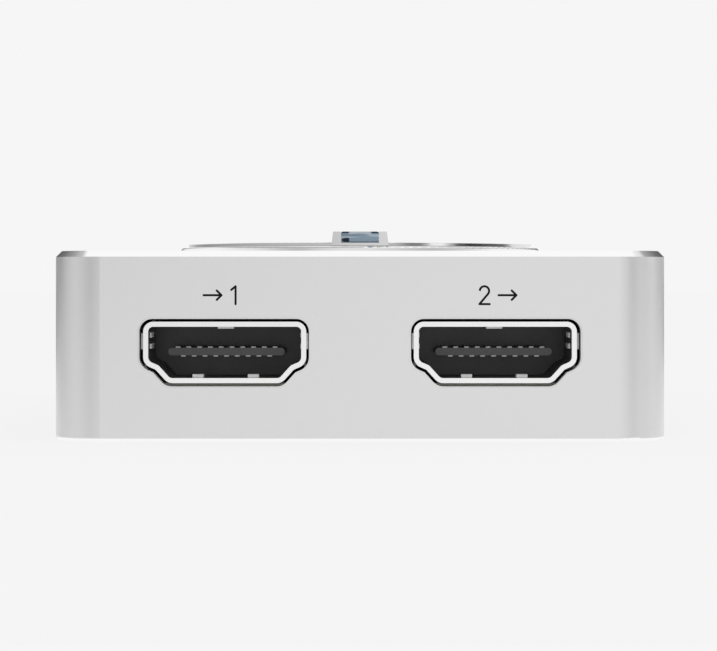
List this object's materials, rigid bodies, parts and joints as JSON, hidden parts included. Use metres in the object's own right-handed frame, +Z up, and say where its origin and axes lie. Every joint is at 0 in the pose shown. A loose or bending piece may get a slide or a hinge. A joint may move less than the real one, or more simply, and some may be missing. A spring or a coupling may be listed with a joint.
{
  "type": "video capture box",
  "caption": "Flat aluminium box that takes video in at one socket, passes it on at another and has a level dial with a raised pointer on its roof.",
  "frame": {"origin": "centre of the underside, where the box rests", "axes": "+Z up, -Y out of the front wall with the video sockets, +X to the right of someone facing it"},
  "size_m": [0.0564, 0.096, 0.0198],
  "materials": {
    "case_aluminium": "fine bead-blasted and silver anodised, satin",
    "base_aluminium": "silver anodised sheet, satin",
    "screw_steel": "zinc-plated steel",
    "insulating_film": "black film",
    "board_laminate": "green solder mask",
    "socket_steel": "bright nickel-plated sheet",
    "socket_plastic": "black moulded plastic",
    "contact_plating": "palladium-nickel plated",
    "data_socket_steel": "stainless steel",
    "jack_plastic": "black moulded plastic",
    "collar_nickel": "nickel-plated",
    "tinned_metal": "tinned",
    "dial_aluminium": "spun face, polished edge",
    "window_plastic": "clear blue, polished",
    "ring_aluminium": "polished",
    "bearing_plastic": "natural acetal",
    "spring_steel": "spring steel",
    "potentiometer_plastic": "dark moulded plastic",
    "potentiometer_wafer": "brown laminate",
    "potentiometer_shaft": "turned",
    "chip_epoxy": "black epoxy",
    "thermal_pad": "soft grey-blue pad",
    "coil_ferrite": "pressed ferrite",
    "can_aluminium": "drawn can",
    "crystal_steel": "pressed lid",
    "ceramic": "fired ceramic"
  },
  "bodies": {
    "box": {"case": "case_aluminium", "base_plate": "base_aluminium", "base_screws": "screw_steel", "board_screws": "screw_steel", "insulating_sheet": "insulating_film", "main_board": "board_laminate", "video_input_shell": "socket_steel", "video_input_insulator": "socket_plastic", "video_input_contacts": "contact_plating", "video_input_chip": "chip_epoxy", "video_loop_shell": "socket_steel", "video_loop_insulator": "socket_plastic", "video_loop_contacts": "contact_plating", "video_loop_chip": "chip_epoxy", "data_shell": "data_socket_steel", "data_insulator": "socket_plastic", "data_contacts": "contact_plating", "audio_jack_body": "jack_plastic", "audio_jack_collar": "collar_nickel", "audio_jack_terminals": "tinned_metal", "dial_ring": "ring_aluminium", "dial_glide_ring": "bearing_plastic", "dial_bush": "bearing_plastic", "dial_thrust_washer": "spring_steel", "potentiometer_housing": "potentiometer_plastic", "potentiometer_wafer": "potentiometer_wafer", "potentiometer_terminals": "tinned_metal", "processor": "chip_epoxy", "thermal_pad": "thermal_pad", "memory_chips": "chip_epoxy", "data_controller": "chip_epoxy", "audio_codec": "chip_epoxy", "power_coils": "coil_ferrite", "capacitor_cans": "can_aluminium", "crystals": "crystal_steel", "small_capacitors": "ceramic"},
    "level_dial": {"dial": "dial_aluminium", "dial_window": "window_plastic", "dial_clip": "spring_steel", "potentiometer_shaft": "potentiometer_shaft"}
  },
  "joints": [
    {"name": "dial_turn", "type": "hinge", "parent": "box", "child": "level_dial", "pos_m": [0, 0, 0], "axis": [0, 0, 1], "range_deg": [-140, 140]}
  ]
}
